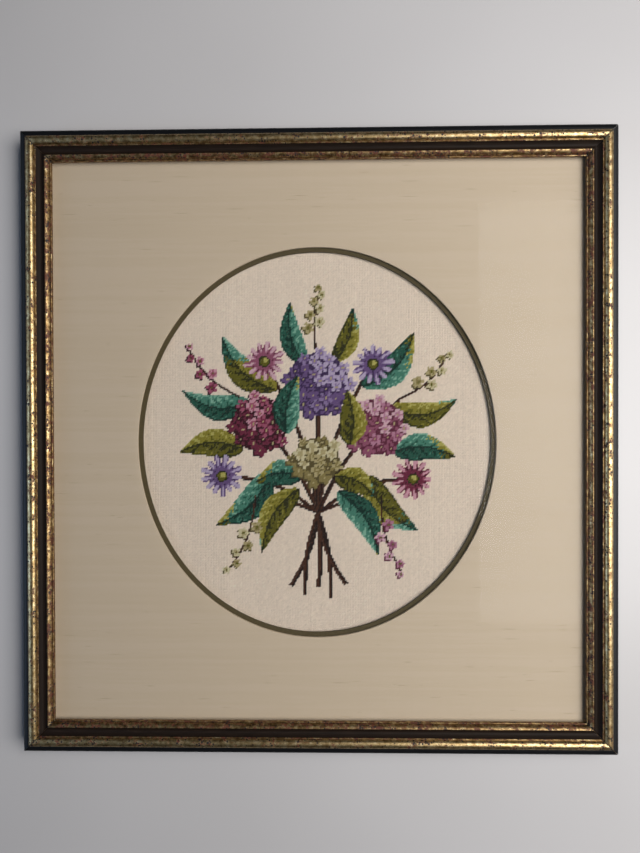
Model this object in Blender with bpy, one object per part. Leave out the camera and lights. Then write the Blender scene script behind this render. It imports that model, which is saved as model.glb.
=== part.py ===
"""A needlepoint canvas panel in a glazed picture frame, lying on its back.

The frame is four mitred lengths of one moulding. In its rabbet lie, from the front, a sheet of
glass, a silk-covered mat, an olive mat, the stitched canvas and a backing board. Both mats have an
oval window. Metres, +Z up out of the picture, +Y towards its top edge; the frame's back is at z = 0.
"""

import math

import bmesh
import bpy
from mathutils import Matrix

MM = 0.001

# The whole frame
FRAME_WIDTH = 381.0 * MM
FRAME_HEIGHT = 399.6 * MM
GAP = 0.3 * MM  # between pieces that touch in the real thing

# The stack of flat pieces, from the back forwards
BACKING_RECESS = 0.8 * MM
BACKING_THICKNESS = 3.0 * MM
CANVAS_THICKNESS = 1.5 * MM
OLIVE_MAT_THICKNESS = 1.4 * MM
SILK_MAT_THICKNESS = 1.6 * MM
GLASS_THICKNESS = 2.0 * MM

# The oval windows, as half axes; the olive mat shows as a narrow band inside the silk one
SILK_WINDOW_X = 116.2 * MM
SILK_WINDOW_Y = 126.5 * MM
OLIVE_REVEAL = 2.8 * MM
WINDOW_SHIFT_X = -1.0 * MM  # the windows are cut a little left of and below the middle
WINDOW_SHIFT_Y = -1.0 * MM
WINDOW_CURVE_STEPS = 24

# The moulding's section: widths run inwards from the frame's outer side, heights up from its back
MOULDING_WIDTH = 19.4 * MM
RABBET_WIDTH = 5.5 * MM
RIM_WIDTH = 3.7 * MM
RIM_SHOULDER_HEIGHT = 14.6 * MM
RIM_TOP_HEIGHT = 16.8 * MM
BEAD_START = 4.0 * MM
BEAD_END = 9.6 * MM
BEAD_FOOT_HEIGHT = 16.7 * MM
BEAD_TOP_HEIGHT = 19.0 * MM
FILLET_START = 9.8 * MM
FILLET_END = 10.55 * MM
FILLET_HEIGHT = 16.9 * MM
COVE_START_HEIGHT = 16.3 * MM
COVE_DEPTH = 1.5 * MM
COVE_END = 15.7 * MM
COVE_END_HEIGHT = 15.5 * MM
ARRIS_END = 16.3 * MM
ARRIS_HEIGHT = 16.1 * MM
SLOPE_CROWN = 0.3 * MM
LIP_TOP_HEIGHT = 13.9 * MM
LIP_FLAT = 0.9 * MM
BACK_EDGE_BREAK = 0.5 * MM
RIM_STEPS = 5
BEAD_STEPS = 10
COVE_STEPS = 6
SLOPE_STEPS = 6

# Heights worked out from the stack
BACKING_BASE = BACKING_RECESS
CANVAS_BASE = BACKING_BASE + BACKING_THICKNESS + GAP
OLIVE_MAT_BASE = CANVAS_BASE + CANVAS_THICKNESS + GAP
SILK_MAT_BASE = OLIVE_MAT_BASE + OLIVE_MAT_THICKNESS + GAP
GLASS_BASE = SILK_MAT_BASE + SILK_MAT_THICKNESS + GAP
RABBET_SHOULDER = GLASS_BASE + GLASS_THICKNESS + GAP

# Flat pieces fill the rabbet on every side but for the gap
RABBET_INSET = MOULDING_WIDTH - RABBET_WIDTH
SHEET_WIDTH = FRAME_WIDTH - 2 * (RABBET_INSET + GAP)
SHEET_HEIGHT = FRAME_HEIGHT - 2 * (RABBET_INSET + GAP)

COLLECTION_NAME = "needlepoint_canvas_panel"
SMOOTH_BELOW = math.radians(24)
WELD_DISTANCE = 0.00001

# Each finish: colour, roughness, metallic, alpha
FINISHES = {
    "gilt_black_moulding": ((0.30, 0.20, 0.07), 0.38, 0.8, 1.0),
    "clear_glass": ((0.94, 0.97, 0.95), 0.04, 0.0, 0.2),
    "silk_cloth": ((0.52, 0.45, 0.34), 0.6, 0.0, 1.0),
    "olive_board": ((0.085, 0.062, 0.026), 0.85, 0.0, 1.0),
    "stitched_wool": ((0.60, 0.51, 0.40), 0.9, 0.0, 1.0),
    "grey_board": ((0.36, 0.32, 0.27), 0.9, 0.0, 1.0),
}


def clear_scene():
    """Start from an empty scene."""
    for obj in list(bpy.data.objects):
        bpy.data.objects.remove(obj, do_unlink=True)


def make_collection():
    """The collection that holds every piece."""
    collection = bpy.data.collections.new(COLLECTION_NAME)
    bpy.context.scene.collection.children.link(collection)
    return collection


def finish_material(name):
    """A plain Principled material from the table of finishes."""
    colour, roughness, metallic, alpha = FINISHES[name]
    material = bpy.data.materials.get(name) or bpy.data.materials.new(name)
    material.use_nodes = True
    shader = material.node_tree.nodes["Principled BSDF"]
    shader.inputs["Base Color"].default_value = (*colour, 1.0)
    shader.inputs["Roughness"].default_value = roughness
    shader.inputs["Metallic"].default_value = metallic
    shader.inputs["Alpha"].default_value = alpha
    return material


def arc(centre, radii, start_deg, end_deg, steps):
    """Points on an upright elliptical arc, both ends included."""
    points = []
    for step in range(steps + 1):
        angle = math.radians(start_deg + (end_deg - start_deg) * step / steps)
        points.append((centre[0] + radii[0] * math.cos(angle), centre[1] + radii[1] * math.sin(angle)))
    return points


def moulding_outline():
    """The moulding's section: up the outer side, over the face, down into the rabbet and along the back."""
    rim_radii = (RIM_WIDTH, RIM_TOP_HEIGHT - RIM_SHOULDER_HEIGHT)
    rim = arc((RIM_WIDTH, RIM_SHOULDER_HEIGHT), rim_radii, 180, 90, RIM_STEPS)
    bead_middle = (BEAD_START + BEAD_END) / 2
    bead_radii = ((BEAD_END - BEAD_START) / 2, BEAD_TOP_HEIGHT - BEAD_FOOT_HEIGHT)
    bead = arc((bead_middle, BEAD_FOOT_HEIGHT), bead_radii, 180, 0, BEAD_STEPS)
    fillet = [(FILLET_START, FILLET_HEIGHT), (FILLET_END, FILLET_HEIGHT)]
    cove = []
    for step in range(COVE_STEPS + 1):
        along = step / COVE_STEPS
        chord = COVE_START_HEIGHT + (COVE_END_HEIGHT - COVE_START_HEIGHT) * along
        hollow = COVE_DEPTH * math.sin(math.pi * along)
        cove.append((FILLET_END + (COVE_END - FILLET_END) * along, chord - hollow))
    arris = [(COVE_END, ARRIS_HEIGHT), (ARRIS_END, ARRIS_HEIGHT)]
    run = MOULDING_WIDTH - LIP_FLAT - ARRIS_END
    fall = ARRIS_HEIGHT - LIP_TOP_HEIGHT
    slope = []
    for step in range(1, SLOPE_STEPS + 1):
        along = step / SLOPE_STEPS
        proud = SLOPE_CROWN * math.sin(math.pi * along) / math.hypot(run, fall)
        slope.append((ARRIS_END + run * along + fall * proud, ARRIS_HEIGHT - fall * along + run * proud))
    lip = [
        (MOULDING_WIDTH, LIP_TOP_HEIGHT),
        (MOULDING_WIDTH, RABBET_SHOULDER),
        (RABBET_INSET, RABBET_SHOULDER),
        (RABBET_INSET, 0.0),
        (BACK_EDGE_BREAK, 0.0),
        (0.0, BACK_EDGE_BREAK),
    ]
    return rim + bead + fillet + cove + arris + slope + lip


def closed_spline(curve, points):
    """A closed outline of straight edges on a 2D curve."""
    spline = curve.splines.new("POLY")
    spline.points.add(len(points) - 1)
    for point, (x, y) in zip(spline.points, points):
        point.co = (x, y, 0.0, 1.0)
    spline.use_cyclic_u = True


def oval_spline(curve, half_x, half_y):
    """An oval outline of four Bezier points about the windows' shared middle."""
    handle = 4 / 3 * math.tan(math.pi / 8)
    spline = curve.splines.new("BEZIER")
    spline.bezier_points.add(3)
    for quarter, point in enumerate(spline.bezier_points):
        angle = quarter * math.pi / 2
        cos_a, sin_a = round(math.cos(angle)), round(math.sin(angle))
        x = WINDOW_SHIFT_X + half_x * cos_a
        y = WINDOW_SHIFT_Y + half_y * sin_a
        reach_x, reach_y = -half_x * handle * sin_a, half_y * handle * cos_a
        point.co = (x, y, 0.0)
        point.handle_left_type = point.handle_right_type = "FREE"
        point.handle_left = (x - reach_x, y - reach_y, 0.0)
        point.handle_right = (x + reach_x, y + reach_y, 0.0)
    spline.resolution_u = WINDOW_CURVE_STEPS
    spline.use_cyclic_u = True


def flat_curve(name, thickness):
    """A 2D curve whose filled outline is pulled out to a thickness."""
    curve = bpy.data.curves.new(name, "CURVE")
    curve.dimensions = "2D"
    curve.fill_mode = "BOTH"
    curve.extrude = thickness / 2
    return curve


def curve_to_mesh(name, curve):
    """The curve's solid as a mesh, its loose caps welded on and its curved faces smooth."""
    holder = bpy.data.objects.new(name + "_outline", curve)
    bpy.context.scene.collection.objects.link(holder)
    bpy.context.view_layer.update()
    evaluated = holder.evaluated_get(bpy.context.evaluated_depsgraph_get())
    mesh = bpy.data.meshes.new_from_object(evaluated)
    mesh.name = name
    bpy.data.objects.remove(holder, do_unlink=True)
    shape = bmesh.new()
    shape.from_mesh(mesh)
    bmesh.ops.remove_doubles(shape, verts=shape.verts, dist=WELD_DISTANCE)
    bmesh.ops.recalc_face_normals(shape, faces=shape.faces)
    shape.to_mesh(mesh)
    shape.free()
    mesh.shade_smooth()
    mesh.set_sharp_from_angle(angle=SMOOTH_BELOW)
    return mesh


def add_piece(collection, name, mesh, finish, base_height=0.0, turn_deg=0.0, place=(0.0, 0.0)):
    """Put a mesh in the collection as one named piece."""
    piece = bpy.data.objects.new(name, mesh)
    piece.location = (place[0], place[1], base_height)
    piece.rotation_euler = (0.0, 0.0, math.radians(turn_deg))
    collection.objects.link(piece)
    if not mesh.materials:
        mesh.materials.append(finish_material(finish))
    return piece


def mitred_rail_mesh(name, length):
    """One length of moulding along X, its section facing +Y inwards, both ends cut to 45 degrees."""
    curve = flat_curve(name, length)
    closed_spline(curve, moulding_outline())
    mesh = curve_to_mesh(name, curve)
    set_back = GAP / 2 * math.sqrt(2)
    for vertex in mesh.vertices:
        inset = vertex.co.x
        end = math.copysign(1.0, vertex.co.z)
        vertex.co.z -= end * (inset + set_back)
    # the section's x runs to +Y, its y to +Z and the pull to +X
    upright = Matrix(((0, 0, 1, 0), (1, 0, 0, 0), (0, 1, 0, 0), (0, 0, 0, 1)))
    mesh.transform(upright)
    return mesh


def add_rails(collection):
    """Bottom, right, top and left rails, each turned a quarter about the frame's middle."""
    sides = (
        # name, length, turn, middle of the outer side
        ("frame_rail_bottom", FRAME_WIDTH, 0, (0.0, -FRAME_HEIGHT / 2)),
        ("frame_rail_right", FRAME_HEIGHT, 90, (FRAME_WIDTH / 2, 0.0)),
        ("frame_rail_top", FRAME_WIDTH, 180, (0.0, FRAME_HEIGHT / 2)),
        ("frame_rail_left", FRAME_HEIGHT, 270, (-FRAME_WIDTH / 2, 0.0)),
    )
    for name, length, turn, middle in sides:
        mesh = mitred_rail_mesh(name, length)
        add_piece(collection, name, mesh, "gilt_black_moulding", turn_deg=turn, place=middle)


def add_mat(collection, name, finish, base_height, thickness, half_x, half_y):
    """A mat board that fills the rabbet, with an oval window cut straight through."""
    curve = flat_curve(name, thickness)
    x, y = SHEET_WIDTH / 2, SHEET_HEIGHT / 2
    closed_spline(curve, [(-x, -y), (x, -y), (x, y), (-x, y)])
    oval_spline(curve, half_x, half_y)
    mesh = curve_to_mesh(name, curve)
    add_piece(collection, name, mesh, finish, base_height + thickness / 2)


def add_sheet(collection, name, finish, base_height, thickness):
    """A flat sheet that fills the rabbet."""
    bpy.ops.mesh.primitive_cube_add(size=1.0)
    blank = bpy.context.active_object
    mesh = blank.data
    mesh.name = name
    bpy.data.objects.remove(blank, do_unlink=True)
    mesh.transform(Matrix.Diagonal((SHEET_WIDTH, SHEET_HEIGHT, thickness, 1.0)))
    add_piece(collection, name, mesh, finish, base_height + thickness / 2)


def build():
    """Make every piece of the framed panel."""
    clear_scene()
    collection = make_collection()
    add_rails(collection)
    add_sheet(collection, "glass_pane", "clear_glass", GLASS_BASE, GLASS_THICKNESS)
    add_mat(
        collection, "silk_mat", "silk_cloth", SILK_MAT_BASE, SILK_MAT_THICKNESS, SILK_WINDOW_X, SILK_WINDOW_Y
    )
    add_mat(
        collection,
        "olive_mat",
        "olive_board",
        OLIVE_MAT_BASE,
        OLIVE_MAT_THICKNESS,
        SILK_WINDOW_X - OLIVE_REVEAL,
        SILK_WINDOW_Y - OLIVE_REVEAL,
    )
    add_sheet(collection, "needlepoint_canvas", "stitched_wool", CANVAS_BASE, CANVAS_THICKNESS)
    add_sheet(collection, "backing_board", "grey_board", BACKING_BASE, BACKING_THICKNESS)


build()
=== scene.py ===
"""Looks of a needlepoint canvas panel: a stitched posy behind an oval double mat and glass, in a
mitred gilt and black picture frame that lies on its back. Metres, +Z up out of the picture."""

import math
from functools import partial

import bpy
import numpy as np
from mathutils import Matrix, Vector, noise


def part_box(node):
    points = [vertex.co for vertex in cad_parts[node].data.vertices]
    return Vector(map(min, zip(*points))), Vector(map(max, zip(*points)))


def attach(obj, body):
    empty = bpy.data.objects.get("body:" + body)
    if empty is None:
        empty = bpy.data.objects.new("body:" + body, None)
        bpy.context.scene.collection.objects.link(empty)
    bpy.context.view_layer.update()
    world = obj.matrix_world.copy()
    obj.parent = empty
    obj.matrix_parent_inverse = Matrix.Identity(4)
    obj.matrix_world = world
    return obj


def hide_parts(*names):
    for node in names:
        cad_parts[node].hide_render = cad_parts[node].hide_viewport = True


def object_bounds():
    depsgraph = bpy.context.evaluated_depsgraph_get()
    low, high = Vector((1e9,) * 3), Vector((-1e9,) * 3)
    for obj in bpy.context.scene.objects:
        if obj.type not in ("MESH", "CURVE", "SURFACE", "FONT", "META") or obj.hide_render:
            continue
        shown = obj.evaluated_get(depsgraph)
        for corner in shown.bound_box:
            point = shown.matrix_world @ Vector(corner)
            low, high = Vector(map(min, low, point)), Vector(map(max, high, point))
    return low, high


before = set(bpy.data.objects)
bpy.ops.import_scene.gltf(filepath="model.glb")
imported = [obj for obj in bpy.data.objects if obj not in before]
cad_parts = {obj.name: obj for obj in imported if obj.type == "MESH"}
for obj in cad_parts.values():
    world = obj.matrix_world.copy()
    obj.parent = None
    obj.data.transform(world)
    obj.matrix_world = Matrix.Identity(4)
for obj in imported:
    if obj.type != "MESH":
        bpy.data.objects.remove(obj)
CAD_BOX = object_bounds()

MM = 0.001
TINY = 1e-9  # keeps a divisor above nothing

# ---------------- sizes read from the frame

LEFT_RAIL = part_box("frame_rail_left")
GLASS_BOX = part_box("glass_pane")
SILK_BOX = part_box("silk_mat")
OLIVE_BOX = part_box("olive_mat")
CANVAS_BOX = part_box("needlepoint_canvas")
BACKING_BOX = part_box("backing_board")

GAP = 0.3 * MM  # between pieces that touch in the real thing
FRAME_WIDTH = CAD_BOX[1][0] - CAD_BOX[0][0]
FRAME_HEIGHT = CAD_BOX[1][1] - CAD_BOX[0][1]
MOULDING_WIDTH = LEFT_RAIL[1][0] - LEFT_RAIL[0][0]
MOULDING_HEIGHT = LEFT_RAIL[1][2]
RABBET_SHOULDER = GLASS_BOX[1][2] + GAP
RABBET_INSET = GLASS_BOX[0][0] - LEFT_RAIL[0][0] - GAP

# ---------------- the windows of the two mats

SILK_WINDOW_X = 116.2 * MM
SILK_WINDOW_Y = 126.5 * MM
OLIVE_REVEAL = 2.8 * MM
OLIVE_WINDOW_X = SILK_WINDOW_X - OLIVE_REVEAL
OLIVE_WINDOW_Y = SILK_WINDOW_Y - OLIVE_REVEAL
WINDOW_MIDDLE = (-1.0 * MM, -1.0 * MM)

# ---------------- colour and node helpers


def linear(hex_code):
    """An sRGB colour such as "c8bba8" as linear light, with full alpha."""
    parts = [int(hex_code[at:at + 2], 16) / 255 for at in (0, 2, 4)]
    light = [part / 12.92 if part <= 0.04045 else ((part + 0.055) / 1.055) ** 2.4 for part in parts]
    return (*light, 1.0)


def connect(node, sockets):
    """Gives each of a node's sockets a value, or links it: from a node's first output, or from the
    output that a (node, output) pair names."""
    for socket, value in sockets.items():
        source = value if isinstance(value, tuple) else (value, 0)
        if isinstance(source[0], bpy.types.Node):
            node.id_data.links.new(source[0].outputs[source[1]], node.inputs[socket])
        else:
            node.inputs[socket].default_value = value


def add_node(tree, kind, sockets=None, stops=None, **settings):
    """Adds a node with its settings, its sockets' values and links and, on a ramp, its stops."""
    made = tree.nodes.new("ShaderNode" + kind)
    for name, value in settings.items():
        setattr(made, name, value)
    connect(made, sockets or {})
    if stops:
        ramp = made.color_ramp.elements
        while len(ramp) < len(stops):
            ramp.new(1.0)
        for element, (position, shade) in zip(ramp, stops):
            element.position = position
            element.color = linear(shade) if isinstance(shade, str) else (shade, shade, shade, 1.0)
    return made


def new_finish(name):
    """A material, its main shader, and add_node for its tree."""
    material = bpy.data.materials.new(name)
    material.use_nodes = True
    tree = material.node_tree
    return material, tree.nodes["Principled BSDF"], partial(add_node, tree)


def grained(name, place, stretch, grain_size, stops, roughness, detail, grit=0.5, metal=0.0, relief=None):
    """A finish of one grain, drawn out along x by stretch: its tones, its dullness and, if it stands
    proud, how strongly and how far. place is "UV" for the way along a rail, or "Object"."""
    material, shader, add = new_finish(name)
    if place == "UV":
        source = add("UVMap", uv_map="along_rail")
    else:
        source = add("TexCoord")
    drawn = add("Mapping", {"Vector": (source, place), "Scale": (stretch, 1.0, 1.0)})
    size = {"Scale": 1 / grain_size, "Detail": detail, "Roughness": grit}
    grain = add("TexNoise", {"Vector": drawn, **size})
    tone = add("ValToRGB", {"Fac": grain}, stops=stops)
    connect(shader, {"Base Color": tone, "Roughness": roughness, "Metallic": metal})
    if relief:
        strength, depth = relief
        bump = add("Bump", {"Height": grain, "Strength": strength, "Distance": depth})
        connect(shader, {"Normal": bump})
    return material


MIX_A, MIX_B, MIX_COLOUR = 6, 7, 2  # sockets of a colour Mix node

# ---------------- materials of the moulding


def gilded(name, leaf_tones, bole_from, spatter_from, spatter_size, shine):
    """Imitation gold leaf over red-brown bole, rubbed, glazed and spattered: a pale warm metal that
    breaks up into dark specks, with more wear where two lengths meet."""
    material, shader, add = new_finish(name)
    along = add("UVMap", uv_map="along_rail")
    joint = (add("Attribute", attribute_name="by_the_mitre"), "Fac")
    # the leaf is toned unevenly, in soft patches of about 3 mm and streaks under 1 mm
    drawn = add("Mapping", {"Vector": along, "Scale": (0.9, 1.0, 1.0)})
    patch_size = {"Scale": 1 / (3 * MM), "Detail": 5.0, "Roughness": 0.72}
    patches = add("TexNoise", {"Vector": drawn, **patch_size})
    leaf = add("ValToRGB", {"Fac": patches}, stops=leaf_tones)
    # rubbed-through places of about 2 mm, more of them in some stretches, show the bole under the leaf
    rub_size = {"Scale": 1 / (2.2 * MM), "Detail": 4.0, "Roughness": 0.75}
    rubbed = add("TexNoise", {"Vector": drawn, **rub_size})
    drift = add("TexNoise", {"Vector": along, "Scale": 1 / (7 * MM), "Detail": 2.0})
    wear = add("Math", {0: drift, 1: 0.5, 2: rubbed}, operation="MULTIPLY_ADD")
    bole_edge = [(bole_from, 0.0), (bole_from + 0.08, 1.0)]
    bare = add("ValToRGB", {"Fac": wear}, stops=bole_edge)
    # the spatter: dots of 0.3 to 1 mm with uneven edges, dense in some places and thin in others
    uneven = add("TexNoise", {"Vector": along, "Scale": 1 / (0.6 * MM), "Detail": 2.0})
    shift = {0: 0.4 * MM, MIX_A: along, MIX_B: (uneven, "Color")}
    shifted = add("Mix", shift, data_type="RGBA", blend_type="ADD")
    dots = add("TexVoronoi", {"Vector": (shifted, MIX_COLOUR), "Scale": 1 / spatter_size})
    dot_size = add("SeparateColor", {0: (dots, "Color")})
    reach = add("Math", {0: dot_size, 1: 0.34, 2: drift}, operation="MULTIPLY_ADD")
    worn_reach = add("Math", {0: joint, 1: 0.35, 2: reach}, operation="MULTIPLY_ADD")
    inside = add("Math", {0: worn_reach, 1: (dots, "Distance")}, operation="SUBTRACT")
    dot_edge = [(spatter_from, 0.0), (spatter_from + 0.07, 1.0)]
    speck = add("ValToRGB", {"Fac": inside}, stops=dot_edge)
    # the last 0.3 mm before the joint is dark with glue and dirt
    seam = add("MapRange", {"Value": joint, "From Min": 0.72, "From Max": 0.84})
    # bole, spatter and dirt are laid over the leaf in turn
    coloured = leaf
    for where, shade in ((bare, "5a2d19"), (speck, "1e120b"), (seam, "0e0906")):
        layers = {0: where, MIX_A: coloured, MIX_B: linear(shade)}
        coloured = (add("Mix", layers, data_type="RGBA"), MIX_COLOUR)
    # bole, specks and dirt are no metal and shine less
    either = add("Math", {0: speck, 1: bare}, operation="MAXIMUM")
    covered = add("Math", {0: either, 1: seam}, operation="MAXIMUM")
    metal = add("MapRange", {"Value": covered, "To Min": 1.0, "To Max": 0.15})
    dullness = add("MapRange", {"Value": covered, "To Min": shine[0], "To Max": shine[1]})
    dents = add("Bump", {"Height": rubbed, "Strength": 0.22, "Distance": 0.10 * MM})
    connect(shader, {"Base Color": coloured, "Metallic": metal, "Roughness": dullness, "Normal": dents})
    return material


def burnished_bead_gold():
    """The leaf on the bead, burnished and often touched: a pale cream gold with a broad clean shine and
    few specks."""
    leaf_tones = [(0.30, "6f5536"), (0.45, "a48a5f"), (0.58, "c8b286"), (0.74, "e4d6b2")]
    return gilded("burnished_bead_gold", leaf_tones, 0.81, 0.43, 1.8 * MM, (0.36, 0.56))


def glazed_flat_gold():
    """The leaf on fillet, arris and slope, under a brown glaze that has settled there: darker, olive and
    satin, with dense specks."""
    leaf_tones = [(0.32, "48301e"), (0.46, "7c623f"), (0.58, "ab9369"), (0.74, "dccaa4")]
    return gilded("glazed_flat_gold", leaf_tones, 0.745, 0.40, 1.5 * MM, (0.40, 0.60))


def worn_edge_with_painted_glint():
    """The sharp edge between rim and bead, rubbed through lacquer and leaf: a thin broken line of worn
    metal and plaster, painted pale so that it also stands in for the glint this edge catches."""
    stops = [(0.36, "33261c"), (0.5, "8d8170"), (0.7, "c9c0ae")]
    return grained("worn_edge_with_painted_glint", "UV", 0.3, 2 * MM, stops, 0.45, detail=4.0, metal=0.5)


def black_lacquer(name, tones_down, shine, mirror):
    """Black lacquer, brushed on thin over wood: nearly black, with faint streaks along the rail and a
    little dust."""
    material, shader, add = new_finish(name)
    along = add("UVMap", uv_map="along_rail")
    brushed = add("Mapping", {"Vector": along, "Scale": (0.04, 1.0, 1.0)})
    streaks = add("TexNoise", {"Vector": brushed, "Scale": 1 / (0.5 * MM), "Detail": 3.0})
    dust = add("TexNoise", {"Vector": along, "Scale": 1 / (0.7 * MM), "Detail": 2.0})
    tone = add("ValToRGB", {"Fac": streaks}, stops=tones_down)
    speck = add("ValToRGB", {"Fac": dust}, stops=[(0.70, 0.0), (0.76, 0.35)])
    layers = {0: speck, MIX_A: tone, MIX_B: linear("5b5048")}
    dusty = add("Mix", layers, data_type="RGBA")
    gloss = add("MapRange", {"Value": streaks, "To Min": shine[0], "To Max": shine[1]})
    brush = add("Bump", {"Height": streaks, "Strength": 0.2, "Distance": 0.03 * MM})
    connect(shader, {"Base Color": (dusty, MIX_COLOUR), "Specular IOR Level": mirror})
    connect(shader, {"Roughness": gloss, "Normal": brush})
    return material


def channel_black_lacquer():
    """One flat coat in the channel, never rubbed: brown-black and dull."""
    tones_down = [(0.3, "150e0a"), (0.6, "20160f"), (0.8, "2d2119")]
    return black_lacquer("channel_black_lacquer", tones_down, (0.50, 0.64), 0.12)


def rim_lacquer_with_painted_shade():
    """Rim and outer side, rubbed smooth by handling so that it gives back the window; its blacker tone
    than the channel's is painted shade.
    """
    # tones darker than the channel's lacquer: painted shade
    tones_down = [(0.3, "07080a"), (0.6, "0c0d10"), (0.8, "18181a")]
    return black_lacquer("rim_lacquer_with_painted_shade", tones_down, (0.38, 0.50), 0.26)


def sawn_basswood():
    """Bare basswood, sawn and left: pale straw brown with grain along the rail, fully matt."""
    stops = [(0.3, "a98a62"), (0.55, "c9ad84"), (0.75, "dcc6a0")]
    fuzz = (0.4, 0.1 * MM)
    return grained("sawn_basswood", "UV", 0.03, 0.9 * MM, stops, 0.85, detail=5.0, grit=0.65, relief=fuzz)


# ---------------- materials of the flat pieces


def slubbed_silk():
    """Dupioni silk glued over board: a beige cloth ribbed from side to side by its uneven weft, with a
    low sheen. Its real ribs, 0.25 mm, are too fine to show, so they are drawn 0.9 mm apart."""
    material, shader, add = new_finish("slubbed_silk")
    place = (add("TexCoord"), "Object")
    weft = add("Mapping", {"Vector": place, "Scale": (0.035, 1.0, 1.0)})
    rib_size = {"Scale": 1 / (0.9 * MM), "Detail": 3.0, "Roughness": 0.6}
    ribs = add("TexNoise", {"Vector": weft, **rib_size})
    # whole picks are a little lighter or darker, in bands of a few millimetres
    band_place = add("Mapping", {"Vector": place, "Scale": (0.012, 1.0, 1.0)})
    bands = add("TexNoise", {"Vector": band_place, "Scale": 1 / (4.5 * MM), "Detail": 2.0})
    warp = add("Mapping", {"Vector": place, "Scale": (1.0, 0.05, 1.0)})
    ends = add("TexNoise", {"Vector": warp, "Scale": 1 / (0.8 * MM), "Detail": 2.0})
    woven = add("Math", {0: ribs, 1: 0.6, 2: bands}, operation="MULTIPLY_ADD")
    crossed = add("Math", {0: ends, 1: 0.25, 2: woven}, operation="MULTIPLY_ADD")
    stops = [(0.45, "cfbba0"), (0.92, "d2bfa5"), (1.2, "d4c1a8")]
    tone = add("ValToRGB", {"Fac": crossed}, stops=stops)
    relief = add("Bump", {"Height": crossed, "Strength": 0.15, "Distance": 0.08 * MM})
    connect(shader, {"Base Color": tone, "Normal": relief, "Roughness": 0.62})
    connect(shader, {"Sheen Weight": 0.15, "Sheen Roughness": 0.4})
    return material


def silk_slub_thread():
    """Thick places in the silk's weft, spun with bits of bark-brown gum: duller and greyer than the
    cloth round them."""
    stops = [(0.35, "a8957b"), (0.65, "bfac91")]
    return grained("silk_slub_thread", "Object", 1.0, 1.5 * MM, stops, 0.7, detail=2.0)


def olive_mat_paper():
    """Mat board faced with dyed paper: a flat dark olive with the paper's fine tooth, which is drawn
    1 mm coarse so that it shows."""
    stops = [(0.3, "4a3f24"), (0.7, "5a4d30")]
    tooth = (0.3, 0.05 * MM)
    return grained("olive_mat_paper", "Object", 1.0, 1.0 * MM, stops, 0.85, detail=4.0, relief=tooth)


def picture_glass():
    """Float glass, polished and clear: it takes a tenth of the light that passes, and shines a little
    more where it is seen at a slant."""
    material, shader, _ = new_finish("picture_glass")
    connect(shader, {"Base Color": linear("28302c"), "IOR": 1.52, "Roughness": 0.03, "Alpha": 0.08})
    connect(shader, {"Specular IOR Level": 0.3})
    return material


def bare_canvas():
    """Cotton needlepoint canvas: stiff cream threads, one each way at every stitch."""
    material, shader, add = new_finish("bare_canvas")
    place = (add("TexCoord"), "Object")
    spacing = {"Vector": place, "Scale": math.pi / (10 * STITCH_PITCH), "Distortion": 0.4}
    threads = [add("TexWave", spacing, wave_type="BANDS", bands_direction=way) for way in "XY"]
    over = {number: (thread, "Fac") for number, thread in enumerate(threads)}
    crossed = add("Math", over, operation="MAXIMUM")
    tone = add("ValToRGB", {"Fac": crossed}, stops=[(0.2, "d8cab4"), (0.7, "f0e2cf")])
    relief = add("Bump", {"Height": crossed, "Strength": 0.6, "Distance": 0.15 * MM})
    connect(shader, {"Base Color": tone, "Normal": relief, "Roughness": 0.9})
    return material


def stranded_wool():
    """Dyed wool yarn: each stitch in its own colour, fibrous and quite matt, with a soft bloom of
    loose fibre at the edges."""
    material, shader, add = new_finish("stranded_wool")
    dyed = add("Attribute", attribute_name="yarn_colour")
    place = (add("TexCoord"), "Object")
    # the ply twists across the slant of the stitch
    twist = {"Vector": place, "Rotation": (0, 0, math.radians(-20)), "Scale": (1, 3, 1)}
    turned = add("Mapping", twist)
    fibre = add("TexNoise", {"Vector": turned, "Scale": 1 / (0.45 * MM), "Detail": 3.0})
    shade = add("MapRange", {"Value": fibre, "To Min": 0.80, "To Max": 1.16})
    layers = {0: 1.0, MIX_A: dyed, MIX_B: shade}
    spun = add("Mix", layers, data_type="RGBA", blend_type="MULTIPLY")
    relief = add("Bump", {"Height": fibre, "Strength": 0.4, "Distance": 0.08 * MM})
    connect(shader, {"Base Color": (spun, MIX_COLOUR), "Normal": relief, "Roughness": 0.85})
    connect(shader, {"Specular IOR Level": 0.2, "Sheen Weight": 0.06, "Sheen Roughness": 0.5})
    return material


def grey_backing_card():
    """Pressed grey-brown card: matt, with scattered pale and dark fibres."""
    stops = [(0.3, "7d6f5c"), (0.5, "968873"), (0.72, "b3a68e")]
    return grained("grey_backing_card", "Object", 0.4, 2.0 * MM, stops, 0.92, detail=6.0, grit=0.7)


def pale_worktop():
    """The plain pale floor: smooth laminate, off-white and faintly cloudy."""
    stops = [(0.3, "bbb9ba"), (0.7, "c1bfc0")]
    return grained("pale_worktop", "Object", 1.0, 220 * MM, stops, 0.35, detail=2.0)


# ---------------- making a piece from its points


def fill(data, field, values, kind=np.float32):
    """Writes one field of all a mesh's points, corners or faces."""
    data.foreach_set(field, np.asarray(values, dtype=kind).ravel())


def corner_points(mesh):
    """The number of the point at each corner of a mesh's faces."""
    numbers = np.empty(len(mesh.loops), dtype=np.int32)
    mesh.loops.foreach_get("vertex_index", numbers)
    return numbers


def put_in_scene(data):
    """Puts a mesh, lamp or camera in the scene as an object of its name."""
    piece = bpy.data.objects.new(data.name, data)
    bpy.context.scene.collection.objects.link(piece)
    return piece


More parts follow.
